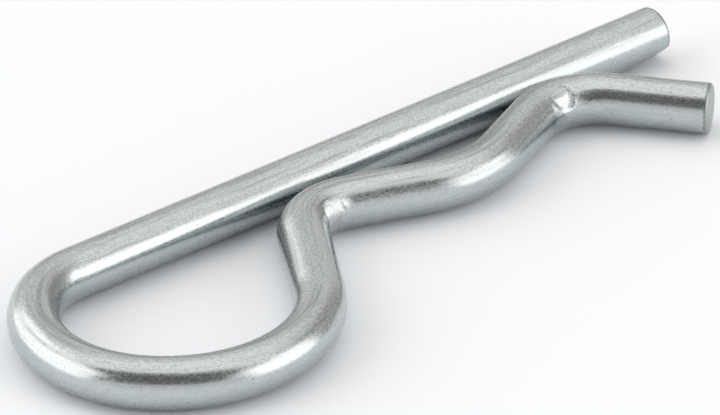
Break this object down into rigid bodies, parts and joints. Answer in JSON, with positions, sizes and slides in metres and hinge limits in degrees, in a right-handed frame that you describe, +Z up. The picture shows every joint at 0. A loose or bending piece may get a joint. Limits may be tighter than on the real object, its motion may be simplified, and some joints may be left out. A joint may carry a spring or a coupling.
{
  "type": "spring cotter pin",
  "caption": "Hairpin spring cotter bent from one round wire: a straight leg, an open loop and a waved side that grips round a shaft.",
  "frame": {"origin": "on the straight leg's axis, where the axis of the shaft it is made for crosses it", "axes": "+X along the leg to its cut tip, -Y to the formed side, +Z up; the clip lies flat on z = -0.004"},
  "size_m": [0.1372, 0.0467, 0.008],
  "materials": {
    "wire": "bright zinc plating over drawn spring wire, with fine drawing lines"
  },
  "bodies": {
    "root": {"clip": "wire"}
  },
  "joints": []
}
